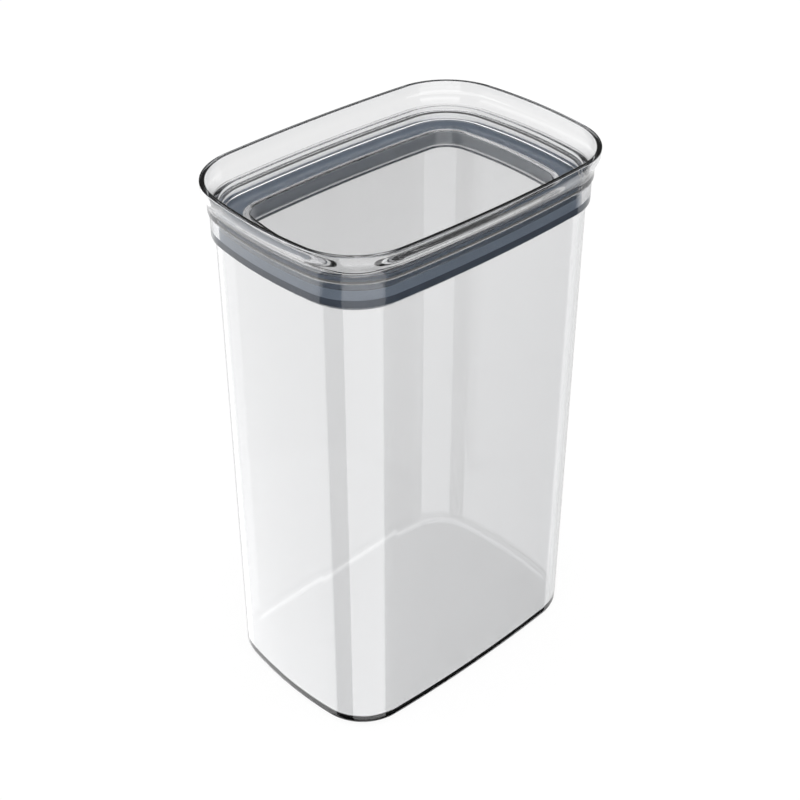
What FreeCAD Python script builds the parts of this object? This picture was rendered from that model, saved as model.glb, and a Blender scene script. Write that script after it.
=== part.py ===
import FreeCAD, Part
import math
import os
import Sketcher

# A tall clear storage box with a press-on lid and a silicone seal.
# Frame: millimetres, +Z up, X along the long side, origin at the middle of the foot.
# Every moulding is one section, drawn as insets from the lid's rim outline and heights, swept round that outline.

# Driving dimensions: alias, value, what it is
DIMENSIONS = (
    ("rim_length", 160.0, "lid rim, overall length"),
    ("rim_width", 111.6, "lid rim, overall width"),
    ("long_bow_radius", 753.0, "bow of the long sides at the rim"),
    ("short_bow_radius", 200.0, "bow of the short sides at the rim"),
    ("corner_radius", 30.7, "corner radius at the rim"),
    ("container_height", 235.8, "foot to mouth edge of the box"),
    ("wall", 2.0, "wall of the box at its foot"),
    ("wall_draft", 0.8, "how far the wall leans in from collar to foot"),
    ("floor_thickness", 2.6, "floor of the box"),
    ("base_round", 8.0, "outside rounding of the foot"),
    ("collar_inset", 3.2, "collar face behind the rim outline"),
    ("collar_proud", 1.8, "collar face in front of the wall"),
    ("collar_wall", 3.4, "wall of the collar"),
    ("collar_depth", 10.2, "straight height of the collar"),
    ("collar_slope", 1.8, "height of the collar's sloping underside"),
    ("edge_round", 0.6, "small moulded edges"),
    ("lid_height", 13.2, "lid above the mouth edge"),
    ("lid_inset", 2.4, "foot of the lid wall behind the rim outline"),
    ("rim_thickness", 2.3, "wall of the flared rim"),
    ("rim_round", 0.35, "rounding of the rim's top edges"),
    ("flare_start", 3.2, "height where the rim begins to flare"),
    ("flare_end", 11.6, "height where the flare is complete"),
    ("ledge_height", 3.2, "upper ledge above the mouth edge"),
    ("ledge_width", 2.1, "upper ledge"),
    ("step_drop", 1.6, "upper ledge to lower ledge"),
    ("step_width", 1.2, "lower ledge"),
    ("tray_round", 2.0, "rounding at the foot of the tray"),
    ("plate_drop", 2.0, "plate top below the mouth edge"),
    ("plate_thickness", 2.2, "see-through plate"),
    ("plug_clearance", 0.4, "lid plug to mouth wall"),
    ("skirt_inset", 16.4, "skirt's outer face behind the rim outline"),
    ("skirt_wall", 2.8, "skirt"),
    ("skirt_height", 8.2, "skirt below the plate"),
    ("skirt_round", 1.5, "rounding at the root of the skirt"),
    ("groove_depth", 0.7, "groove in the plate over the skirt"),
    ("bead_width", 1.2, "bead that holds the seal on the skirt"),
    ("bead_height", 1.0, "bead"),
    ("seal_clearance", 0.35, "relaxed lip to mouth wall"),
    ("seal_fit", 0.1, "seal to skirt and bead"),
    ("face_height", 4.0, "sloping face of the seal above its lip"),
    ("face_setback", 1.35, "top of the sloping face behind the lip"),
    ("lip_height", 3.9, "lip"),
    ("lip_round", 0.3, "rounding of the lip"),
)


class Size:
    """A length that knows its number and the spreadsheet expression that gives it."""

    def __init__(self, value, text):
        self.value = value
        self.text = text

    def combined(self, other, sign, value):
        return Size(value, "(" + self.text + sign + other.text + ")")

    def __add__(self, other):
        return self.combined(other, " + ", self.value + other.value)

    def __sub__(self, other):
        return self.combined(other, " - ", self.value - other.value)

    def __mul__(self, factor):
        return Size(self.value * factor, "(" + self.text + " * " + str(factor) + ")")

    def __truediv__(self, other):
        return self.combined(other, " / ", self.value / other.value)

    def squared(self):
        return Size(self.value ** 2, "(" + self.text + " ^ 2)")


def smaller(first, second):
    """The smaller of two sizes, for a rounding that its wall limits."""
    text = "min(" + first.text + "; " + second.text + ")"
    return Size(min(first.value, second.value), text)


# Document and spreadsheet
doc = FreeCAD.newDocument("storage_container")
sheet = doc.addObject("Spreadsheet::Sheet", "dims")
for row, (alias, value, note) in enumerate(DIMENSIONS, start=1):
    sheet.set("A" + str(row), note)
    sheet.set("B" + str(row), str(value))
    sheet.setAlias("B" + str(row), alias)
doc.recompute()
size = {alias: Size(float(sheet.get(alias)), "dims." + alias) for alias, _, _ in DIMENSIONS}
ZERO = Size(0.0, "0")
LEFT, RIGHT = 1, -1

# Places that several pieces share, as insets and heights
half_length = size["rim_length"] * 0.5
half_width = size["rim_width"] * 0.5
mouth_edge = size["container_height"]
wall_inset = size["collar_inset"] + size["collar_proud"]
foot_inset = wall_inset + size["wall_draft"]
mouth_inset = size["collar_inset"] + size["collar_wall"]
plate_top = mouth_edge - size["plate_drop"]
plate_under = plate_top - size["plate_thickness"]
skirt_inner = size["skirt_inset"] + size["skirt_wall"]
skirt_bottom = plate_under - size["skirt_height"]
bead_inset = size["skirt_inset"] - size["bead_width"]
bead_top = skirt_bottom + size["bead_height"]


def origin_plane(body, role):
    """One of a body's own origin planes."""
    return next(plane for plane in body.Origin.OriginFeatures if plane.Role == role)


def bound(sketch, constraint, name, measure):
    """Add a constraint and bind its number to the spreadsheet."""
    index = sketch.addConstraint(constraint)
    sketch.renameConstraint(index, name)
    sketch.setExpression("Constraints." + name, measure.text)


def circle_arc(centre_x, centre_y, radius, start, end):
    centre = FreeCAD.Vector(centre_x, centre_y, 0)
    circle = Part.Circle(centre, FreeCAD.Vector(0, 0, 1), radius)
    return Part.ArcOfCircle(circle, start, end)


def outline_sketch(body, name, inset):
    """The bow-sided, round-cornered outline in plan, inset from the rim: nine tangent arcs from the +X end."""
    sketch = body.newObject("Sketcher::SketchObject", name)
    sketch.AttachmentSupport = [(origin_plane(body, "XY_Plane"), "")]
    sketch.MapMode = "FlatFace"
    long_radius = size["long_bow_radius"] - inset
    short_radius = size["short_bow_radius"] - inset
    corner = size["corner_radius"] - inset
    long_centre = size["long_bow_radius"] - half_width
    short_centre = size["short_bow_radius"] - half_length
    # Corner centre: a corner arc touches both bows from inside
    to_long = size["long_bow_radius"].value - size["corner_radius"].value
    to_short = size["short_bow_radius"].value - size["corner_radius"].value
    base = math.hypot(long_centre.value, short_centre.value)
    along = math.atan2(long_centre.value, short_centre.value)
    turn = math.acos((to_short ** 2 + base ** 2 - to_long ** 2) / (2 * to_short * base))
    short_angle = turn - along
    corner_x = to_short * math.cos(short_angle) - short_centre.value
    corner_y = to_short * math.sin(short_angle)
    long_angle = math.atan2(corner_y + long_centre.value, corner_x)
    sx, ly = short_centre.value, long_centre.value
    rs, rl, rc = short_radius.value, long_radius.value, corner.value
    half, whole = math.pi, 2 * math.pi
    arcs = (
        circle_arc(-sx, 0, rs, 0, short_angle),
        circle_arc(corner_x, corner_y, rc, short_angle, long_angle),
        circle_arc(0, -ly, rl, long_angle, half - long_angle),
        circle_arc(-corner_x, corner_y, rc, half - long_angle, half - short_angle),
        circle_arc(sx, 0, rs, half - short_angle, half + short_angle),
        circle_arc(-corner_x, -corner_y, rc, half + short_angle, half + long_angle),
        circle_arc(0, ly, rl, half + long_angle, whole - long_angle),
        circle_arc(corner_x, -corner_y, rc, whole - long_angle, whole - short_angle),
        circle_arc(-sx, 0, rs, whole - short_angle, whole),
    )
    for arc in arcs:
        sketch.addGeometry(arc, False)
    origin, x_axis, y_axis = (-1, 1), -1, -2
    start, end, centre = 1, 2, 3
    for index in range(len(arcs) - 1):
        sketch.addConstraint(Sketcher.Constraint("Tangent", index, end, index + 1, start))
    sketch.addConstraint(Sketcher.Constraint("PointOnObject", 0, start, x_axis))
    sketch.addConstraint(Sketcher.Constraint("PointOnObject", len(arcs) - 1, end, x_axis))
    for index in (0, 4, 8):
        sketch.addConstraint(Sketcher.Constraint("PointOnObject", index, centre, x_axis))
        sign = 1 if index == 4 else -1
        place = Sketcher.Constraint("DistanceX", *origin, index, centre, sign * sx)
        bound(sketch, place, "short_centre_" + str(index), short_centre * sign)
    for index in (2, 6):
        sketch.addConstraint(Sketcher.Constraint("PointOnObject", index, centre, y_axis))
        sign = 1 if index == 6 else -1
        place = Sketcher.Constraint("DistanceY", *origin, index, centre, sign * ly)
        bound(sketch, place, "long_centre_" + str(index), long_centre * sign)
    radii = [corner] * len(arcs)
    for index in (0, 4, 8):
        radii[index] = short_radius
    for index in (2, 6):
        radii[index] = long_radius
    for index, radius in enumerate(radii):
        bound(sketch, Sketcher.Constraint("Radius", index, radius.value), "radius_" + str(index), radius)
    return sketch


def arc_between(first, second, radius, side):
    """An arc of less than a half circle that turns left or right on its way."""
    dx, dy = second[0] - first[0], second[1] - first[1]
    chord = math.hypot(dx, dy)
    lift = math.sqrt(max(radius ** 2 - chord ** 2 / 4, 0.0)) * side
    centre_x = (first[0] + second[0]) / 2 - dy / chord * lift
    centre_y = (first[1] + second[1]) / 2 + dx / chord * lift
    angles = [math.atan2(y - centre_y, x - centre_x) for x, y in (first, second)]
    if side == RIGHT:
        angles.reverse()
    if angles[1] < angles[0]:
        angles[1] += 2 * math.pi
    return circle_arc(centre_x, centre_y, radius, angles[0], angles[1])


def section_sketch(body, name, steps):
    """A closed section on the XZ plane. A step is (inset, height) reached by a line, or adds (radius, side) for an arc."""
    sketch = body.newObject("Sketcher::SketchObject", name)
    sketch.AttachmentSupport = [(origin_plane(body, "XZ_Plane"), "")]
    sketch.MapMode = "FlatFace"
    corners = [(half_length - step[0], step[1]) for step in steps]
    points = [(x.value, z.value) for x, z in corners]
    starts, ends = [], []
    for index, step in enumerate(steps):
        first, second = points[index - 1], points[index]
        if len(step) == 2:
            line = Part.LineSegment(FreeCAD.Vector(*first, 0), FreeCAD.Vector(*second, 0))
            sketch.addGeometry(line, False)
            clockwise = False
        else:
            sketch.addGeometry(arc_between(first, second, step[2].value, step[3]), False)
            clockwise = step[3] == RIGHT
        starts.append(2 if clockwise else 1)
        ends.append(1 if clockwise else 2)
    for index, (x, z) in enumerate(corners):
        following = (index + 1) % len(corners)
        joint = Sketcher.Constraint("Coincident", index, ends[index], following, starts[following])
        sketch.addConstraint(joint)
        across = Sketcher.Constraint("DistanceX", -1, 1, index, ends[index], x.value)
        bound(sketch, across, "across_" + str(index), x)
        if z is ZERO:
            sketch.addConstraint(Sketcher.Constraint("PointOnObject", index, ends[index], -1))
        else:
            upward = Sketcher.Constraint("DistanceY", -1, 1, index, ends[index], z.value)
            bound(sketch, upward, "upward_" + str(index), z)
        if len(steps[index]) > 2:
            radius = steps[index][2]
            bound(sketch, Sketcher.Constraint("Radius", index, radius.value), "radius_" + str(index), radius)
    return sketch


def swept_ring(body, steps):
    """Sweep a section once round the rim outline."""
    spine = outline_sketch(body, body.Name + "_outline", ZERO)
    section = section_sketch(body, body.Name + "_section", steps)
    doc.recompute()
    ring = body.newObject("PartDesign::AdditivePipe", body.Name + "_ring")
    ring.Profile = section
    ring.Spine = (spine, ["Edge" + str(index + 1) for index in range(len(spine.Shape.Edges))])
    ring.Mode = "Frenet"
    doc.recompute()
    return ring


def flat_panel(body, inset, underside, thickness):
    """The flat middle of a moulding: the outline padded up from its underside."""
    sketch = outline_sketch(body, body.Name + "_panel_outline", inset)
    sketch.setExpression("AttachmentOffset.Base.z", underside.text)
    doc.recompute()
    panel = body.newObject("PartDesign::Pad", body.Name + "_panel")
    panel.Profile = sketch
    panel.setExpression("Length", thickness.text)
    doc.recompute()
    return panel


def new_body(label):
    body = doc.addObject("PartDesign::Body", label)
    body.Label = label
    return body


def s_curve_radius(across, upward):
    """Radius of two equal arcs that make an S between two upright tangents."""
    return (across.squared() + upward.squared()) / (across * 4.0)


def midpoint(first, second):
    return (first + second) * 0.5


# Clear box: rounded foot, drafted wall and collar
def build_container():
    body = new_body("container")
    floor_top = size["floor_thickness"]
    inner_foot = foot_inset + size["wall"]
    inner_round = size["base_round"] - size["wall"]
    panel_edge = inner_foot + size["base_round"]
    collar_foot = mouth_edge - size["collar_depth"]
    wall_top = collar_foot - size["collar_slope"]
    edge = smaller(size["edge_round"], size["collar_wall"] * 0.45)
    flat_panel(body, panel_edge, ZERO, floor_top)
    swept_ring(body, (
        (panel_edge, floor_top),
        (panel_edge, ZERO),
        (foot_inset + size["base_round"], ZERO),
        (foot_inset, size["base_round"], size["base_round"], LEFT),
        (wall_inset, wall_top),
        (size["collar_inset"], collar_foot),
        (size["collar_inset"], mouth_edge - edge),
        (size["collar_inset"] + edge, mouth_edge, edge, LEFT),
        (mouth_inset - edge, mouth_edge),
        (mouth_inset, mouth_edge - edge, edge, LEFT),
        (inner_foot, floor_top + inner_round),
        (inner_foot + inner_round, floor_top, inner_round, RIGHT),
    ))
    return body


# Smoke-clear lid: flared rim, stepped ledge, plate and skirt
def build_lid():
    body = new_body("lid")
    rim_top = mouth_edge + size["lid_height"]
    flare_start = mouth_edge + size["flare_start"]
    flare_end = mouth_edge + size["flare_end"]
    ledge_top = mouth_edge + size["ledge_height"]
    step_top = ledge_top - size["step_drop"]
    rim_inner = size["rim_thickness"]
    rim_foot = size["lid_inset"] + rim_inner
    ledge_inner = rim_foot + size["ledge_width"]
    step_inner = ledge_inner + size["step_width"]
    tray_inset = step_inner + size["tray_round"]
    plug_inset = mouth_inset + size["plug_clearance"]
    groove_floor = plate_top - size["groove_depth"]
    panel_edge = skirt_inner + size["skirt_round"]
    round_top = smaller(size["rim_round"], rim_inner * 0.45)
    edge = smaller(size["edge_round"], size["rim_thickness"] * 0.45)
    outer_bend = s_curve_radius(size["lid_inset"], size["flare_end"] - size["flare_start"])
    inner_bend = s_curve_radius(size["lid_inset"], size["flare_end"] - size["ledge_height"])
    flat_panel(body, panel_edge, plate_under, size["plate_thickness"])
    swept_ring(body, (
        (panel_edge, plate_top),
        (skirt_inner, plate_top),
        (skirt_inner, groove_floor),
        (size["skirt_inset"], groove_floor),
        (size["skirt_inset"], plate_top),
        (tray_inset, plate_top),
        (step_inner, plate_top + size["tray_round"], size["tray_round"], LEFT),
        (step_inner, step_top),
        (ledge_inner, step_top),
        (ledge_inner, ledge_top),
        (rim_foot, ledge_top),
        (midpoint(rim_inner, rim_foot), midpoint(ledge_top, flare_end), inner_bend, RIGHT),
        (rim_inner, flare_end, inner_bend, LEFT),
        (rim_inner, rim_top - round_top),
        (rim_inner - round_top, rim_top, round_top, RIGHT),
        (round_top, rim_top),
        (ZERO, rim_top - round_top, round_top, RIGHT),
        (ZERO, flare_end),
        (midpoint(ZERO, size["lid_inset"]), midpoint(flare_start, flare_end), outer_bend, RIGHT),
        (size["lid_inset"], flare_start, outer_bend, LEFT),
        (size["lid_inset"], mouth_edge + edge),
        (size["lid_inset"] + edge, mouth_edge, edge, RIGHT),
        (plug_inset, mouth_edge),
        (plug_inset, plate_under),
        (size["skirt_inset"], plate_under),
        (size["skirt_inset"], bead_top),
        (bead_inset, bead_top),
        (bead_inset, skirt_bottom),
        (skirt_inner, skirt_bottom),
        (skirt_inner, plate_under - size["skirt_round"]),
        (panel_edge, plate_under, size["skirt_round"], LEFT),
    ))
    return body


# Silicone seal: a band that grips the skirt above its bead, and a lip that presses on the mouth
def build_seal_ring():
    body = new_body("seal_ring")
    grip = size["skirt_inset"] - size["seal_fit"]
    bead_face = bead_inset - size["seal_fit"]
    bead_roof = bead_top + size["seal_fit"]
    lip_face = mouth_inset + size["seal_clearance"]
    upper_face = lip_face + size["face_setback"]
    lip_top = plate_under - size["face_height"]
    lip_bottom = lip_top - size["lip_height"]
    lip_round = smaller(size["lip_round"], size["lip_height"] * 0.45)
    swept_ring(body, (
        (grip, plate_under),
        (upper_face, plate_under),
        (lip_face + lip_round, lip_top),
        (lip_face, lip_top - lip_round, lip_round, RIGHT),
        (lip_face, lip_bottom + lip_round),
        (lip_face + lip_round, lip_bottom, lip_round, RIGHT),
        (bead_face, lip_bottom),
        (bead_face, bead_roof),
        (grip, bead_roof),
    ))
    return body


pieces = [build_container(), build_lid(), build_seal_ring()]
doc.recompute()

# Nothing is written unless every object is sound
for item in doc.Objects:
    if "Invalid" in item.State or "Error" in item.State:
        raise RuntimeError("failed object: " + item.Label)
for piece in pieces:
    if piece.Shape.isNull() or not piece.Shape.isValid() or len(piece.Shape.Solids) != 1:
        raise RuntimeError("bad shape: " + piece.Label)

os.makedirs("parts", exist_ok=True)
for piece in pieces:
    piece.Shape.exportStep(os.path.join("parts", piece.Label + ".step"))
    box = piece.Shape.BoundBox
    print(piece.Label, "volume", round(piece.Shape.Volume, 1), "faces", len(piece.Shape.Faces),
          "box", [round(v, 2) for v in (box.XMin, box.XMax, box.YMin, box.YMax, box.ZMin, box.ZMax)])
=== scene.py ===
import math

import bmesh
import bpy
from bpy.props import FloatProperty, FloatVectorProperty, PointerProperty
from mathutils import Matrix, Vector


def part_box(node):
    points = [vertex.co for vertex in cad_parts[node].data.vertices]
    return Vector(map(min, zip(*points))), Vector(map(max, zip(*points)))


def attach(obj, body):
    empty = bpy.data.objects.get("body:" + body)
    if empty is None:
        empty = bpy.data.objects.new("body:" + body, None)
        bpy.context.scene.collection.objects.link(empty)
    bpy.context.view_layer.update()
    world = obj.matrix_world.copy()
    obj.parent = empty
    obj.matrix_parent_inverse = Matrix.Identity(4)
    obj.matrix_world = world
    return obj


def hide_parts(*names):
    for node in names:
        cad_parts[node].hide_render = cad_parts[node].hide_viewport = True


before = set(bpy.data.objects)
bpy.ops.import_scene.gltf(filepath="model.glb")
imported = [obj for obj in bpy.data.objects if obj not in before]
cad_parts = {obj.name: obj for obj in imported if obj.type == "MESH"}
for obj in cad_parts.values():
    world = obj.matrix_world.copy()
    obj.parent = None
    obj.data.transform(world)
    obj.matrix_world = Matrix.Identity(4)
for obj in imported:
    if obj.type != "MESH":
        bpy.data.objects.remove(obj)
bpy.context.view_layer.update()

bl_info = {
    "name": "Airtight storage container",
    "version": (1, 0, 0),
    "blender": (4, 5, 0),
    "location": "View3D > Sidebar > Container",
    "description": "Builds a tall clear storage box with its stacking lid, silicone seal and studio",
    "category": "Object",
}

# Every moulding is one section, given as insets from the rim outline and heights, swept round that outline.
# Metres, +Z up, X along the long side, origin at the middle of the foot.
MM = 0.001
LID_LOW, LID_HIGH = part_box("lid")
BOX_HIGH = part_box("container")[1]

# How finely the meshes are cut
CORNER_STEPS = 28
LONG_STEPS = 18
SHORT_STEPS = 14
ARC_STEP = math.radians(11)
FLARE_STEPS = 7

# The most of a section's side that the rounding of one corner takes
CORNER_SHARE = 0.48

# Light paths: a straight one has no mirror bounce, and one through a single wall crosses two surfaces
STRAIGHT_BOUNCES = 0.5
ONE_WALL_CROSSINGS = 2.5

# A face of the seal counts as facing out, or in, where its plane lies this far from the middle, in metres.
# The outward lip takes painted shade and the inward faces take painted light
FACING_LIMIT = 0.005

# The upright share of a normal from which a face of the seal counts as its top, which takes painted shade,
# and the grey of its mottle
UPWARD_LIMIT = 0.7
MOTTLE_GREY = (0.45, 0.45, 0.45, 1)

# Width of the camera's frame in millimetres
FRAME_WIDTH = 36.0


def size(name, description, metres):
    """A length that a user may change."""
    return FloatProperty(name=name, description=description, default=metres, min=0.0,
                         precision=5, subtype="DISTANCE", unit="LENGTH")


def amount(name, description, value):
    """A plain number that a user may change."""
    return FloatProperty(name=name, description=description, default=value, precision=4)


def turn(name, description, degrees):
    """An angle that a user may change."""
    return FloatProperty(name=name, description=description, default=math.radians(degrees),
                         subtype="ANGLE", unit="ROTATION")


def colour(name, description, value):
    """A linear colour that a user may change."""
    return FloatVectorProperty(name=name, description=description, default=value, size=3,
                               min=0.0, max=1.0, subtype="COLOR")


# Sizes and colours
class RimSettings(bpy.types.PropertyGroup):
    length: size("Rim length", "Overall length of the lid's rim", LID_HIGH.x - LID_LOW.x)
    width: size("Rim width", "Overall width of the lid's rim", LID_HIGH.y - LID_LOW.y)
    long_bow: size("Long bow", "Radius of the bowed long sides", 753 * MM)
    short_bow: size("Short bow", "Radius of the bowed short sides", 200 * MM)
    corner: size("Corner", "Radius of the corners at the rim", 30.7 * MM)
    small_edge: size("Small edge", "Rounding of the small moulded edges", 0.25 * MM)


class BoxSettings(bpy.types.PropertyGroup):
    mouth: size("Mouth", "Height of the mouth edge", BOX_HIGH.z)
    wall: size("Wall", "Wall below the collar", 2.0 * MM)
    floor: size("Floor", "Thickness of the floor", 2.6 * MM)
    wall_inset: size("Wall inset", "Top of the wall behind the rim outline", 5.0 * MM)
    draft: size("Draft", "How far the wall leans in towards the foot", 0.8 * MM)
    base_round: size("Base round", "Outside rounding of the foot", 8.0 * MM)
    collar_inset: size("Collar inset", "Collar face behind the rim outline", 3.2 * MM)
    collar_wall: size("Collar wall", "Wall of the collar", 3.4 * MM)
    collar_depth: size("Collar depth", "Straight height of the collar", 10.2 * MM)
    collar_slope: size("Collar slope", "Height of the collar's sloping underside", 1.8 * MM)
    edge: size("Edge", "Rounding of the mouth edge", 0.6 * MM)
    tint: colour("Tint", "Colour that the plastic lets through", (0.50, 0.51, 0.53))
    density: amount("Density", "How strongly the plastic tints, per metre", 110.0)
    index: amount("Index", "Index of refraction", 1.52)


class LidSettings(bpy.types.PropertyGroup):
    height: size("Height", "Rim above the mouth edge", LID_HIGH.z - BOX_HIGH.z)
    foot_inset: size("Foot inset", "Foot of the lid wall behind the rim outline", 2.4 * MM)
    rim_wall: size("Rim wall", "Wall of the flared rim", 2.3 * MM)
    foot_wall: size("Foot wall", "Wall at the foot of the flared rim", 1.85 * MM)
    rim_round: size("Rim round", "Rounding of the rim's top edge", 0.35 * MM)
    flare_start: size("Flare start", "Height where the rim begins to flare", 3.2 * MM)
    flare_end: size("Flare end", "Height where the flare is complete", 11.6 * MM)
    ledge: size("Ledge", "Width of the upper ledge", 2.55 * MM)
    ledge_height: size("Ledge height", "Upper ledge above the mouth edge", 3.2 * MM)
    step: size("Step", "Width of the lower ledge", 1.2 * MM)
    step_drop: size("Step drop", "Upper ledge to lower ledge", 1.6 * MM)
    tray_round: size("Tray round", "Rounding at the foot of the tray", 2.0 * MM)
    plate_drop: size("Plate drop", "Plate below the mouth edge", 2.0 * MM)
    plate: size("Plate", "Thickness of the see-through plate", 2.2 * MM)
    seat_gap: size("Seat gap", "Air between the lid and the mouth edge", 0.12 * MM)
    plug_inset: size("Plug inset", "Plug behind the rim outline", 7.0 * MM)
    skirt_inset: size("Skirt inset", "Skirt behind the rim outline", 16.4 * MM)
    skirt: size("Skirt", "Wall of the skirt", 2.8 * MM)
    skirt_end: size("Skirt end", "Height of the skirt's lower edge", LID_LOW.z)
    groove: size("Groove", "Depth of the groove in the plate over the skirt", 0.7 * MM)
    skirt_round: size("Skirt round", "Rounding at the root of the skirt", 1.5 * MM)
    bead_width: size("Bead width", "Bead that holds the seal on the skirt", 1.2 * MM)
    bead: size("Bead", "Height of the bead", 1.0 * MM)
    tint: colour("Tint", "Colour that the plastic lets through", (0.50, 0.505, 0.52))
    density: amount("Density", "How strongly the plastic tints, per metre", 105.0)
    index: amount("Index", "Index of refraction", 1.52)


class SealSettings(bpy.types.PropertyGroup):
    contact: size("Contact", "How far the silicone beds into the plastic that it presses on", 0.03 * MM)
    fit: size("Fit", "Air between the seal and the skirt", 0.1 * MM)
    face_inset: size("Face inset", "Top of the sloping face behind the rim outline", 7.9 * MM)
    face: size("Face", "Height of the sloping face", 4.0 * MM)
    lip_inset: size("Lip inset", "Lip behind the rim outline", 6.57 * MM)
    lip: size("Lip", "Height of the lip", 3.9 * MM)
    lip_round: size("Lip round", "Rounding of the lip", 0.3 * MM)
    pale: colour("Pale", "Colour of the seal where it is free", (0.35, 0.42, 0.52))
    # The inner colour is a painted light: a lighter copy of the seal's colour on the faces inside the skirt
    inner: colour("Inner", "Colour of the seal where it shows through the skirt", (0.58, 0.65, 0.74))
    # The deep colour is a painted shade on the lip that presses on the mouth, and the top press spreads that
    # painted shade onto the top under the plate
    painted_shade: colour("Deep", "Colour of the seal where it is pressed", (0.12, 0.15, 0.20))
    top_painted_shade: amount("Top press", "How far the top, under the plate, takes the pressed colour", 0.6)


class StageSettings(bpy.types.PropertyGroup):
    azimuth: turn("Azimuth", "Where the camera stands round the object", -42.867)
    elevation: turn("Elevation", "How high the camera stands", 34.936)
    distance: size("Distance", "Camera to the point that it looks at", 770.5 * MM)
    aim: FloatVectorProperty(name="Aim", description="Point that the camera looks at", size=3,
                             default=(38.45 * MM, 44.08 * MM, 89.21 * MM),
                             subtype="TRANSLATION", unit="LENGTH")
    lens: amount("Lens", "Focal length in millimetres on a 36 mm frame", 70.12)
    floor_size: size("Floor size", "Half side of the floor", 6.0)
    floor_gap: size("Floor gap", "Floor below the foot", 0.05 * MM)
    floor_colour: colour("Floor", "Colour of the floor", (0.86, 0.86, 0.86))
    floor_glow: amount("Floor glow", "Share of plain white in what the camera sees of the floor", 0.93)
    sweep: amount("Sweep", "Strength of the pale sweep behind the object", 1.0)
    flag: amount("Flag", "Strength of the dark flags beside the windows", 0.04)
    left_light: amount("Left window", "Strength of the left window", 1.42)
    front_light: amount("Front window", "Strength of the front window", 1.6)
    low_gain: amount("Low gain", "How much brighter the windows are near the floor", 1.3)
    under_gain: amount("Under gain", "How bright the windows are straight below", 0.35)
    under_end: amount("Under end", "Height where the windows begin to brighten, 0 below to 1 above", 0.06)
    low_start: amount("Low start", "Height where the windows are brightest", 0.11)
    low_end: amount("Low end", "Height where the windows reach their plain strength", 0.24)
    ceiling: amount("Ceiling", "Strength of the ceiling", 0.15)
    skylight: amount("Skylight", "Strength of the light overhead", 2.4)
    wall_top: amount("Wall top", "Height where the walls begin to darken, from 0 below to 1 above", 0.58)
    ceiling_start: amount("Ceiling start", "Height where the ceiling begins", 0.66)
    skylight_start: amount("Skylight start", "Height where the skylight begins", 0.86)
    skylight_end: amount("Skylight end", "Height where the skylight is full", 0.92)
    sweep_start: turn("Sweep start", "Azimuth where the pale sweep begins", -30)
    sweep_end: turn("Sweep end", "Azimuth where the pale sweep ends", 75)
    left_start: turn("Left window start", "Azimuth where the left window begins", 75)
    left_end: turn("Left window end", "Azimuth where the left window ends", 168)
    front_start: turn("Front window start", "Azimuth where the front window begins", -155)
    front_end: turn("Front window end", "Azimuth where the front window ends", -83)
    key: amount("Key", "Strength of the soft key light round the front and sides", 2.4)
    key_height: amount("Key height", "Height where the key light begins, from 0 below to 1 above", 0.78)
    back_start: turn("Back start", "Azimuth where the dark back of the ceiling begins", -5)
    back_end: turn("Back end", "Azimuth where the dark back of the ceiling ends", 100)
    shade_inset: size("Shade inset", "Outer edge of the foot's shade behind the rim outline", 6.2 * MM)
    shade_width: size("Shade width", "Width of the shade under the foot", 14.0 * MM)
    shade_colour: colour("Shade", "Colour of the floor in the shade under the foot", (0.02, 0.02, 0.02))


# The outline and the sections
def rim_outline(rim):
    """Points of the rim outline in plan, each with the unit direction to the inside: eight tangent arcs."""
    long_centre = rim.long_bow - rim.width / 2
    short_centre = rim.short_bow - rim.length / 2
    to_long = rim.long_bow - rim.corner
    to_short = rim.short_bow - rim.corner
    base = math.hypot(long_centre, short_centre)
    along = math.atan2(long_centre, short_centre)
    opening = math.acos((to_short ** 2 + base ** 2 - to_long ** 2) / (2 * to_short * base))
    short_angle = opening - along
    corner_x = to_short * math.cos(short_angle) - short_centre
    corner_y = to_short * math.sin(short_angle)
    long_angle = math.atan2(corner_y + long_centre, corner_x)
    half, whole = math.pi, 2 * math.pi
    arcs = (
        (-short_centre, 0, rim.short_bow, -short_angle, short_angle, SHORT_STEPS),
        (corner_x, corner_y, rim.corner, short_angle, long_angle, CORNER_STEPS),
        (0, -long_centre, rim.long_bow, long_angle, half - long_angle, LONG_STEPS),
        (-corner_x, corner_y, rim.corner, half - long_angle, half - short_angle, CORNER_STEPS),
        (short_centre, 0, rim.short_bow, half - short_angle, half + short_angle, SHORT_STEPS),
        (-corner_x, -corner_y, rim.corner, half + short_angle, half + long_angle, CORNER_STEPS),
        (0, long_centre, rim.long_bow, half + long_angle, whole - long_angle, LONG_STEPS),
        (corner_x, -corner_y, rim.corner, whole - long_angle, whole - short_angle, CORNER_STEPS),
    )
    outline = []
    for centre_x, centre_y, radius, start, end, steps in arcs:
        for step in range(steps):
            angle = start + (end - start) * step / steps
            outward = Vector((math.cos(angle), math.sin(angle), 0))
            centre = Vector((centre_x, centre_y, 0))
            outline.append((centre + outward * radius, -outward))
    return outline


def rounded_corner(before, corner, after, radius):
    """Points of the arc that rounds one corner of a section."""
    back = before - corner
    ahead = after - corner
    angle = back.angle(ahead)
    room = CORNER_SHARE * min(back.length, ahead.length)
    reach = min(radius / math.tan(angle / 2), room)
    radius = reach * math.tan(angle / 2)
    start = corner + back.normalized() * reach
    end = corner + ahead.normalized() * reach
    middle = (back.normalized() + ahead.normalized()).normalized()
    centre = corner + middle * radius / math.sin(angle / 2)
    sweep = math.pi - angle
    steps = max(2, math.ceil(sweep / ARC_STEP))
    first = start - centre
    last = end - centre
    points = []
    for step in range(steps + 1):
        share = step / steps
        blend = first * math.sin((1 - share) * sweep) + last * math.sin(share * sweep)
        points.append(centre + blend / math.sin(sweep))
    return points


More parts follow.
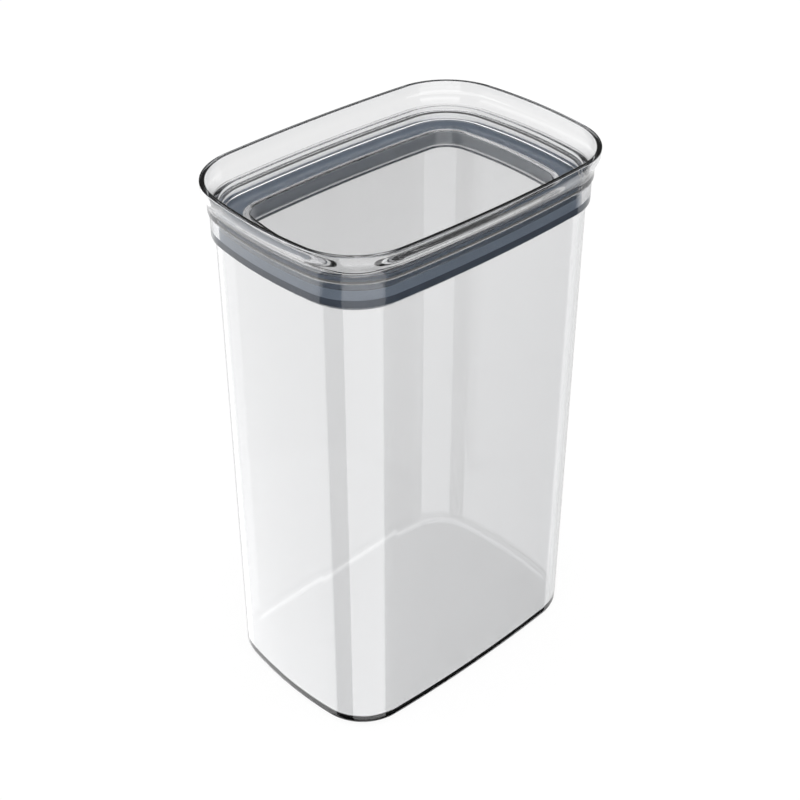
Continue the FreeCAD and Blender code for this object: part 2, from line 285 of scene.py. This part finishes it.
def rounded_section(corners, closed):
    """A section's points, with each corner (inset, height, rounding) turned into an arc."""
    places = [Vector(corner[:2]) for corner in corners]
    points = []
    for index, corner in enumerate(corners):
        at_end = index in (0, len(corners) - 1)
        if corner[2] == 0 or (at_end and not closed):
            points.append(places[index])
        else:
            after = places[(index + 1) % len(places)]
            points += rounded_corner(places[index - 1], places[index], after, corner[2])
    return points


def flare(start, end):
    """Corners of an S of two equal arcs between two upright tangents, without its ends."""
    across = end[0] - start[0]
    upward = end[1] - start[1]
    bend = 2 * math.atan2(abs(across), abs(upward))
    corners = []
    for step in range(1, 2 * FLARE_STEPS):
        share = step / FLARE_STEPS
        angle = bend * min(share, 2 - share)
        side = (1 - math.cos(angle)) / (1 - math.cos(bend)) / 2
        rise = math.sin(angle) / math.sin(bend) / 2
        if share > 1:
            side, rise = 1 - side, 1 - rise
        corners.append((start[0] + across * side, start[1] + upward * rise, 0))
    return corners


def box_section(box, rim):
    """The box wall from the middle of its underside, out, up, over the mouth and down to the floor."""
    foot_inset = box.wall_inset + box.draft
    inner_foot = foot_inset + box.wall
    inner_round = box.base_round - box.wall
    panel = inner_foot + box.base_round
    collar_foot = box.mouth - box.collar_depth
    mouth_inset = box.collar_inset + box.collar_wall
    small = rim.small_edge
    corners = (
        (panel, 0, 0),
        (foot_inset, 0, box.base_round),
        (box.wall_inset, collar_foot - box.collar_slope, small),
        (box.collar_inset, collar_foot, small),
        (box.collar_inset, box.mouth, box.edge),
        (mouth_inset, box.mouth, box.edge),
        (inner_foot, box.floor, inner_round),
        (panel, box.floor, 0),
    )
    return rounded_section(corners, closed=False)


def lid_section(lid, box, rim):
    """The lid from the top of its plate, out over the ledges, round the rim, down to the skirt and back."""
    seat = box.mouth + lid.seat_gap
    rim_top = box.mouth + lid.height
    flare_end = box.mouth + lid.flare_end
    ledge_top = box.mouth + lid.ledge_height
    step_top = ledge_top - lid.step_drop
    plate_top = box.mouth - lid.plate_drop
    plate_under = plate_top - lid.plate
    rim_foot = lid.foot_inset + lid.foot_wall
    ledge_inner = rim_foot + lid.ledge
    step_inner = ledge_inner + lid.step
    skirt_inner = lid.skirt_inset + lid.skirt
    bead_inset = lid.skirt_inset - lid.bead_width
    small = rim.small_edge
    corners = [
        (skirt_inner + lid.skirt_round, plate_top, 0),
        (skirt_inner, plate_top, small),
        (skirt_inner, plate_top - lid.groove, small),
        (lid.skirt_inset, plate_top - lid.groove, small),
        (lid.skirt_inset, plate_top, small),
        (step_inner, plate_top, lid.tray_round),
        (step_inner, step_top, small),
        (ledge_inner, step_top, small),
        (ledge_inner, ledge_top, small),
        (rim_foot, ledge_top, small),
        *flare((rim_foot, ledge_top), (lid.rim_wall, flare_end)),
        (lid.rim_wall, flare_end, 0),
        (lid.rim_wall, rim_top, lid.rim_round),
        (0, rim_top, lid.rim_round),
        (0, flare_end, 0),
        *flare((0, flare_end), (lid.foot_inset, box.mouth + lid.flare_start)),
        (lid.foot_inset, box.mouth + lid.flare_start, 0),
        (lid.foot_inset, seat, box.edge),
        (lid.plug_inset, seat, small),
        (lid.plug_inset, plate_under, small),
        (lid.skirt_inset, plate_under, small),
        (lid.skirt_inset, lid.skirt_end + lid.bead, small),
        (bead_inset, lid.skirt_end + lid.bead, small),
        (bead_inset, lid.skirt_end, small),
        (skirt_inner, lid.skirt_end, small),
        (skirt_inner, plate_under, lid.skirt_round),
        (skirt_inner + lid.skirt_round, plate_under, 0),
    ]
    return rounded_section(corners, closed=False)


def seal_section(seal, lid, box, rim):
    """The seal: a band that grips the skirt above its bead, and a lip that presses on the mouth."""
    plate_under = box.mouth - lid.plate_drop - lid.plate
    top = plate_under + seal.contact
    grip = lid.skirt_inset - seal.fit
    bead_face = lid.skirt_inset - lid.bead_width - seal.fit
    bead_top = lid.skirt_end + lid.bead + seal.fit
    lip_top = plate_under - seal.face
    lip_bottom = lip_top - seal.lip
    small = rim.small_edge
    corners = (
        (grip, top, small),
        (seal.face_inset, top, small),
        (seal.lip_inset, lip_top, seal.lip_round),
        (seal.lip_inset, lip_bottom, seal.lip_round),
        (bead_face, lip_bottom, small),
        (bead_face, bead_top, small),
        (grip, bead_top, small),
    )
    return rounded_section(corners, closed=True)


def section_normals(section, closed):
    """A normal at each point of a section: long flats keep theirs, and short arcs take up the turn."""
    last = len(section) - 1
    normals = []
    for index, point in enumerate(section):
        along = Vector((0, 0))
        if closed or index > 0:
            step = point - section[index - 1]
            along += step * step.length
        if closed or index < last:
            step = section[(index + 1) % len(section)] - point
            along += step * step.length
        normals.append(Vector((-along.y, along.x)).normalized())
    return normals


def swept_mesh(name, outline, section, closed):
    """A mesh of a section swept round the outline. An open section gets a flat panel at each end."""
    shape = bmesh.new()
    rings = []
    for inset, height in section:
        lift = Vector((0, 0, height))
        rings.append([shape.verts.new(point + inward * inset + lift) for point, inward in outline])
    following = rings[1:] + rings[:1] if closed else rings[1:]
    for lower, upper in zip(rings, following):
        for index in range(len(outline)):
            previous = index - 1
            shape.faces.new((lower[previous], lower[index], upper[index], upper[previous]))
    if not closed:
        shape.faces.new(rings[0])
        shape.faces.new(rings[-1])
    bmesh.ops.recalc_face_normals(shape, faces=shape.faces)
    for face in shape.faces:
        face.smooth = True
    shape.normal_update()
    normals = []
    for ring, normal in zip(rings, section_normals(section, closed)):
        for vertex, (point, inward) in zip(ring, outline):
            direction = inward * normal.x + Vector((0, 0, normal.y))
            normals.append(direction if direction.dot(vertex.normal) > 0 else -direction)
    mesh = bpy.data.meshes.new(name)
    shape.to_mesh(mesh)
    shape.free()
    mesh.normals_split_custom_set_from_vertices(normals)
    return mesh


def add_object(name, mesh, material):
    """A new object in the scene with one material."""
    piece = bpy.data.objects.new(name, mesh)
    bpy.context.scene.collection.objects.link(piece)
    mesh.materials.append(material)
    return piece


def add_piece(name, mesh, material, body, node):
    """A piece of the object that rides on a body and stands for its node."""
    piece = add_object(name, mesh, material)
    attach(piece, body)
    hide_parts(node)


# Shader nodes
def feed(tree, socket, value):
    """Links an input to another node's output, or sets it to a plain value."""
    if isinstance(value, bpy.types.NodeSocket):
        tree.links.new(value, socket)
    else:
        socket.default_value = value


def add_node(tree, kind, **values):
    """A node whose named inputs are set or linked. Underscores stand for spaces in the inputs' names."""
    node = tree.nodes.new(kind)
    for key, value in values.items():
        feed(tree, node.inputs[key.replace("_", " ")], value)
    return node


def add_math(tree, operation, *values):
    """The output of a Math node of plain numbers or sockets."""
    node = tree.nodes.new("ShaderNodeMath")
    node.operation = operation
    for socket, value in zip(node.inputs, values):
        feed(tree, socket, value)
    return node.outputs["Value"]


def add_mix(tree, factor, first, second):
    """The output of a Mix node that blends two numbers or sockets."""
    node = tree.nodes.new("ShaderNodeMix")
    node.data_type = "FLOAT"
    for label, value in (("Factor", factor), ("A", first), ("B", second)):
        feed(tree, node.inputs[label], value)
    return node.outputs["Result"]


def add_colour_mix(tree, blend, factor, first, second):
    """The output of a Mix node that blends two colours or sockets."""
    node = tree.nodes.new("ShaderNodeMix")
    node.data_type = "RGBA"
    node.blend_type = blend
    feed(tree, node.inputs["Factor"], factor)
    colours = [socket for socket in node.inputs if socket.type == "RGBA"]
    for socket, value in zip(colours, (first, second)):
        feed(tree, socket, value)
    return next(socket for socket in node.outputs if socket.type == "RGBA")


def add_shader_mix(tree, factor, first, second):
    """The output of a Mix Shader node: the first shader at factor 0, the second at 1."""
    node = tree.nodes.new("ShaderNodeMixShader")
    for socket, value in zip(node.inputs, (factor, first, second)):
        feed(tree, socket, value)
    return node.outputs["Shader"]


def add_ramp(tree, factor, stops):
    """The output of a colour ramp with grey stops, each a place and a strength."""
    node = add_node(tree, "ShaderNodeValToRGB", Fac=factor)
    elements = node.color_ramp.elements
    while len(elements) < len(stops):
        elements.new(0.5)
    for element, (place, grey) in zip(elements, stops):
        element.position = place
        element.color = (grey, grey, grey, 1)
    return node.outputs["Color"]


def sector(tree, azimuth, start, end):
    """A mask that is 1 between two azimuths."""
    after = add_math(tree, "GREATER_THAN", azimuth, start)
    before = add_math(tree, "LESS_THAN", azimuth, end)
    return add_math(tree, "MULTIPLY", after, before)


# Materials
def new_material(name):
    """An empty node material."""
    material = bpy.data.materials.new(name)
    material.use_nodes = True
    material.node_tree.nodes.clear()
    return material


def new_group(name, inputs, outputs):
    """A shader node group with float sockets, and its input and output nodes."""
    group = bpy.data.node_groups.new(name, "ShaderNodeTree")
    for label, default in inputs:
        socket = group.interface.new_socket(label, in_out="INPUT", socket_type="NodeSocketFloat")
        socket.default_value = default
    for label in outputs:
        group.interface.new_socket(label, in_out="OUTPUT", socket_type="NodeSocketFloat")
    return group, group.nodes.new("NodeGroupInput"), group.nodes.new("NodeGroupOutput")


def moulded_surface_group():
    """Polish and flow of a moulded surface: a drifting roughness, and a height of slow ripples and grain."""
    name = "moulded_surface"
    if name in bpy.data.node_groups:
        return bpy.data.node_groups[name]
    inputs = (("Polish", 0.02), ("Drift", 0.02), ("Ripple Scale", 20.0),
              ("Grain Scale", 900.0), ("Grain", 0.1))
    group, given, result = new_group(name, inputs, ("Roughness", "Height"))
    place = add_node(group, "ShaderNodeTexCoord").outputs["Object"]
    ripple = add_node(group, "ShaderNodeTexNoise", Vector=place,
                      Scale=given.outputs["Ripple Scale"], Detail=1.0)
    grain = add_node(group, "ShaderNodeTexNoise", Vector=place,
                     Scale=given.outputs["Grain Scale"], Detail=2.0)
    drift = add_math(group, "MULTIPLY", ripple.outputs["Fac"], given.outputs["Drift"])
    rough = add_math(group, "ADD", drift, given.outputs["Polish"])
    fine = add_math(group, "MULTIPLY", grain.outputs["Fac"], given.outputs["Grain"])
    height = add_math(group, "ADD", ripple.outputs["Fac"], fine)
    group.links.new(rough, result.inputs["Roughness"])
    group.links.new(height, result.inputs["Height"])
    return group


def surface_detail(tree, polish, drift, ripple_scale, grain_scale, grain, relief):
    """Places the moulded surface in a material and returns its roughness and normal."""
    detail = tree.nodes.new("ShaderNodeGroup")
    detail.node_tree = moulded_surface_group()
    values = {"Polish": polish, "Drift": drift, "Ripple Scale": ripple_scale,
              "Grain Scale": grain_scale, "Grain": grain}
    for label, value in values.items():
        detail.inputs[label].default_value = value
    bump = add_node(tree, "ShaderNodeBump", Strength=1.0, Distance=relief, Height=detail.outputs["Height"])
    return detail.outputs["Roughness"], bump.outputs["Normal"]


def clear_plastic(name, settings):
    """Polished see-through plastic whose tint deepens with thickness."""
    material = new_material(name)
    tree = material.node_tree
    roughness, normal = surface_detail(tree, polish=0.004, drift=0.012, ripple_scale=14.0,
                                       grain_scale=700.0, grain=0.01, relief=0.02 * MM)
    shader = add_node(tree, "ShaderNodeBsdfPrincipled", Base_Color=(1, 1, 1, 1), Roughness=roughness,
                      Normal=normal, IOR=settings.index, Transmission_Weight=1.0)
    tint = add_node(tree, "ShaderNodeVolumeAbsorption", Color=(*settings.tint, 1), Density=settings.density)
    add_node(tree, "ShaderNodeOutputMaterial", Surface=shader.outputs["BSDF"], Volume=tint.outputs["Volume"])
    return material


def silicone(seal, lip_top):
    """Satin silicone with a faint mottle, with painted shade on the lip that presses on the mouth and on the
    top under the plate, and painted light on the faces inside.
    """
    material = new_material("blue_grey_silicone")
    tree = material.node_tree
    roughness, normal = surface_detail(tree, polish=0.36, drift=0.14, ripple_scale=60.0,
                                       grain_scale=2500.0, grain=0.4, relief=0.03 * MM)
    place = add_node(tree, "ShaderNodeTexCoord").outputs["Object"]
    mottle = add_node(tree, "ShaderNodeTexNoise", Vector=place, Scale=180.0, Detail=3.0)
    facing = tree.nodes.new("ShaderNodeNewGeometry").outputs["Normal"]
    spot = add_node(tree, "ShaderNodeSeparateXYZ", Vector=place)
    way = add_node(tree, "ShaderNodeSeparateXYZ", Vector=facing)
    along_x = add_math(tree, "MULTIPLY", spot.outputs["X"], way.outputs["X"])
    along_y = add_math(tree, "MULTIPLY", spot.outputs["Y"], way.outputs["Y"])
    away = add_math(tree, "ADD", along_x, along_y)
    outward = add_math(tree, "GREATER_THAN", away, FACING_LIMIT)
    inward = add_math(tree, "LESS_THAN", away, -FACING_LIMIT)
    low = add_math(tree, "LESS_THAN", spot.outputs["Z"], lip_top)
    upward = add_math(tree, "GREATER_THAN", way.outputs["Z"], UPWARD_LIMIT)
    # Painted shade: the outward lip below its top, and in part the upward top under the plate, take a darker
    # copy of the colour
    lip = add_math(tree, "MULTIPLY", outward, low)
    shaded = add_math(tree, "MAXIMUM", lip, add_math(tree, "MULTIPLY", upward, seal.top_painted_shade))
    # Painted light: faces that look inward take the lighter inner colour
    free = add_colour_mix(tree, "MIX", inward, (*seal.pale, 1), (*seal.inner, 1))
    tone = add_colour_mix(tree, "MIX", shaded, free, (*seal.painted_shade, 1))
    blended = add_colour_mix(tree, "SOFT_LIGHT", mottle.outputs["Fac"], tone, MOTTLE_GREY)
    shader = add_node(tree, "ShaderNodeBsdfPrincipled", Base_Color=blended, Roughness=roughness,
                      Normal=normal, IOR=1.42)
    add_node(tree, "ShaderNodeOutputMaterial", Surface=shader.outputs["BSDF"])
    return material


def floor_material(stage):
    """A pale floor that the camera sees as nearly plain white, with the object's shadow faint on it."""
    material = new_material("pale_floor")
    tree = material.node_tree
    path = tree.nodes.new("ShaderNodeLightPath")
    white_share = add_math(tree, "MULTIPLY", path.outputs["Is Camera Ray"], stage.floor_glow)
    plain = add_node(tree, "ShaderNodeEmission", Color=(1, 1, 1, 1), Strength=1.0)
    lit = add_node(tree, "ShaderNodeBsdfDiffuse", Color=(*stage.floor_colour, 1))
    mixed = add_shader_mix(tree, white_share, lit.outputs["BSDF"], plain.outputs["Emission"])
    add_node(tree, "ShaderNodeOutputMaterial", Surface=mixed)
    return material


def shade_material(stage):
    """Painted shade: a dark ring on the floor under the rounded foot, seen through that foot alone and not
    through the whole box.
    """
    material = new_material("foot_shade")
    tree = material.node_tree
    path = tree.nodes.new("ShaderNodeLightPath")
    one_wall = add_math(tree, "LESS_THAN", path.outputs["Transmission Depth"], ONE_WALL_CROSSINGS)
    clear = tree.nodes.new("ShaderNodeBsdfTransparent")
    dark = add_node(tree, "ShaderNodeBsdfDiffuse", Color=(*stage.shade_colour, 1))
    mixed = add_shader_mix(tree, one_wall, clear.outputs["BSDF"], dark.outputs["BSDF"])
    add_node(tree, "ShaderNodeOutputMaterial", Surface=mixed)
    return material


# Studio light
def wall_light(tree, stage, azimuth, height, path):
    """Strength of the walls. Mirror bounces meet the pale sweep, dark flags and two windows, and a straight
    look through the plastic meets the sweep on every side."""
    sweep = sector(tree, azimuth, stage.sweep_start, stage.sweep_end)
    strength = add_mix(tree, sweep, stage.flag, stage.sweep)
    gain = add_ramp(tree, height, (
        (0.0, stage.under_gain),
        (stage.under_end, stage.under_gain),
        (stage.low_start, stage.low_gain),
        (stage.low_end, 1.0),
    ))
    windows = (
        (stage.left_start, stage.left_end, stage.left_light),
        (stage.front_start, stage.front_end, stage.front_light),
    )
    for start, end, brightness in windows:
        window = add_math(tree, "MULTIPLY", gain, brightness)
        strength = add_mix(tree, sector(tree, azimuth, start, end), strength, window)
    straight = add_math(tree, "LESS_THAN", path.outputs["Glossy Depth"], STRAIGHT_BOUNCES)
    through = add_math(tree, "MULTIPLY", path.outputs["Is Transmission Ray"], straight)
    return add_mix(tree, through, strength, stage.sweep)


def ceiling_light(tree, stage, azimuth, height):
    """Strength overhead: a dark ceiling with a skylight, and a key light round all but the back."""
    ceiling = add_ramp(tree, height, (
        (0.0, stage.ceiling),
        (stage.skylight_start, stage.ceiling),
        (stage.skylight_end, stage.skylight),
        (1.0, stage.skylight),
    ))
    high = add_math(tree, "GREATER_THAN", height, stage.key_height)
    back = sector(tree, azimuth, stage.back_start, stage.back_end)
    # Low in the back this share is below zero, which a Mix node takes as none
    key = add_math(tree, "SUBTRACT", high, back)
    return add_mix(tree, key, ceiling, stage.key)


def studio_world(stage):
    """White to the camera, and a room of walls and ceiling to every other ray."""
    world = bpy.data.worlds.new("studio")
    bpy.context.scene.world = world
    world.use_nodes = True
    tree = world.node_tree
    tree.nodes.clear()
    place = add_node(tree, "ShaderNodeTexCoord").outputs["Generated"]
    parts = add_node(tree, "ShaderNodeSeparateXYZ", Vector=place)
    path = tree.nodes.new("ShaderNodeLightPath")
    azimuth = add_math(tree, "ARCTAN2", parts.outputs["Y"], parts.outputs["X"])
    # The height is 0 straight below, a half at the horizon and 1 straight above
    height = add_math(tree, "MULTIPLY_ADD", parts.outputs["Z"], 0.5, 0.5)
    walls = wall_light(tree, stage, azimuth, height, path)
    ceiling = ceiling_light(tree, stage, azimuth, height)
    above = add_node(tree, "ShaderNodeMapRange", Value=height,
                     From_Min=stage.wall_top, From_Max=stage.ceiling_start)
    light = add_mix(tree, above.outputs["Result"], walls, ceiling)
    room = add_node(tree, "ShaderNodeBackground", Color=(1, 1, 1, 1), Strength=light)
    white = add_node(tree, "ShaderNodeBackground", Color=(1, 1, 1, 1), Strength=1.0)
    mixed = add_shader_mix(tree, path.outputs["Is Camera Ray"],
                           room.outputs["Background"], white.outputs["Background"])
    add_node(tree, "ShaderNodeOutputWorld", Surface=mixed)


# Stage
def flat_mesh(name, corners, height):
    """A flat polygon that faces up."""
    mesh = bpy.data.meshes.new(name)
    mesh.from_pydata([(x, y, height) for x, y in corners], [], [range(len(corners))])
    return mesh


def ring_mesh(name, outline, inset, width, height):
    """A flat ring that follows the outline."""
    count = len(outline)
    points = []
    for offset in (inset, inset + width):
        points += [(*(point + inward * offset).xy, height) for point, inward in outline]
    faces = []
    for index in range(count):
        after = (index + 1) % count
        faces.append((index, after, count + after, count + index))
    mesh = bpy.data.meshes.new(name)
    mesh.from_pydata(points, [], faces)
    return mesh


def add_camera(stage):
    """The camera at the photograph's angle."""
    lens = bpy.data.cameras.new("camera")
    lens.lens = stage.lens
    lens.sensor_width = FRAME_WIDTH
    lens.clip_start = 0.01
    lens.clip_end = 50.0
    camera = bpy.data.objects.new("camera", lens)
    bpy.context.scene.collection.objects.link(camera)
    level = math.cos(stage.elevation)
    across = math.sin(stage.azimuth) * level
    ahead = math.cos(stage.azimuth) * level
    back = Vector((across, -ahead, math.sin(stage.elevation)))
    camera.location = Vector(stage.aim) + back * stage.distance
    camera.rotation_euler = (-back).to_track_quat("-Z", "Y").to_euler()
    bpy.context.scene.camera = camera


# Operators
class CONTAINER_OT_box(bpy.types.Operator):
    """Build the clear box"""
    bl_idname = "container.box"
    bl_label = "Clear box"

    def execute(self, context):
        rim, box = context.scene.rim_settings, context.scene.box_settings
        mesh = swept_mesh("clear_box", rim_outline(rim), box_section(box, rim), closed=False)
        add_piece("clear_box", mesh, clear_plastic("clear_plastic", box), "box", "container")
        return {"FINISHED"}


class CONTAINER_OT_lid(bpy.types.Operator):
    """Build the stacking lid"""
    bl_idname = "container.lid"
    bl_label = "Stacking lid"

    def execute(self, context):
        scene = context.scene
        section = lid_section(scene.lid_settings, scene.box_settings, scene.rim_settings)
        mesh = swept_mesh("stacking_lid", rim_outline(scene.rim_settings), section, closed=False)
        material = clear_plastic("smoke_plastic", scene.lid_settings)
        add_piece("stacking_lid", mesh, material, "lid", "lid")
        return {"FINISHED"}


class CONTAINER_OT_seal(bpy.types.Operator):
    """Build the silicone seal"""
    bl_idname = "container.seal"
    bl_label = "Silicone seal"

    def execute(self, context):
        scene = context.scene
        rim, box = scene.rim_settings, scene.box_settings
        lid, seal = scene.lid_settings, scene.seal_settings
        mesh = swept_mesh("silicone_seal", rim_outline(rim), seal_section(seal, lid, box, rim), closed=True)
        lip_top = box.mouth - lid.plate_drop - lid.plate - seal.face
        add_piece("silicone_seal", mesh, silicone(seal, lip_top), "lid", "seal_ring")
        return {"FINISHED"}


class CONTAINER_OT_stage(bpy.types.Operator):
    """Build the floor, the studio light and the camera"""
    bl_idname = "container.stage"
    bl_label = "Stage"

    def execute(self, context):
        stage = context.scene.stage_settings
        half = stage.floor_size
        corners = ((-half, -half), (half, -half), (half, half), (-half, half))
        floor = add_object("floor", flat_mesh("floor", corners, -stage.floor_gap), floor_material(stage))
        floor.visible_glossy = False
        floor.visible_transmission = False
        outline = rim_outline(context.scene.rim_settings)
        # A painted shade: a dark ring under the foot that only rays crossing one wall see
        ring = ring_mesh("foot_shade", outline, stage.shade_inset, stage.shade_width, -stage.floor_gap / 2)
        shade = add_object("foot_shade", ring, shade_material(stage))
        shade.visible_camera = False
        shade.visible_diffuse = False
        shade.visible_glossy = False
        shade.visible_shadow = False
        studio_world(stage)
        add_camera(stage)
        context.scene.view_settings.view_transform = "Standard"
        return {"FINISHED"}


class CONTAINER_PT_panel(bpy.types.Panel):
    """Lists the pieces and their sizes"""
    bl_idname = "CONTAINER_PT_panel"
    bl_label = "Storage container"
    bl_space_type = "VIEW_3D"
    bl_region_type = "UI"
    bl_category = "Container"

    def draw(self, context):
        for operator in OPERATORS:
            self.layout.operator(operator.bl_idname)
        for group in SETTINGS:
            column = self.layout.column(align=True)
            settings = getattr(context.scene, group)
            for label in settings.__annotations__:
                column.prop(settings, label)


SETTINGS = {
    "rim_settings": RimSettings,
    "box_settings": BoxSettings,
    "lid_settings": LidSettings,
    "seal_settings": SealSettings,
    "stage_settings": StageSettings,
}
OPERATORS = (CONTAINER_OT_box, CONTAINER_OT_lid, CONTAINER_OT_seal, CONTAINER_OT_stage)


def register():
    for kind in (*SETTINGS.values(), *OPERATORS, CONTAINER_PT_panel):
        bpy.utils.register_class(kind)
    for name, kind in SETTINGS.items():
        setattr(bpy.types.Scene, name, PointerProperty(type=kind))


def unregister():
    for name in SETTINGS:
        delattr(bpy.types.Scene, name)
    for kind in (CONTAINER_PT_panel, *OPERATORS, *SETTINGS.values()):
        bpy.utils.unregister_class(kind)


def main():
    register()
    bpy.ops.container.box()
    bpy.ops.container.lid()
    bpy.ops.container.seal()
    bpy.ops.container.stage()
    bpy.context.view_layer.update()


if __name__ == "__main__":
    main()
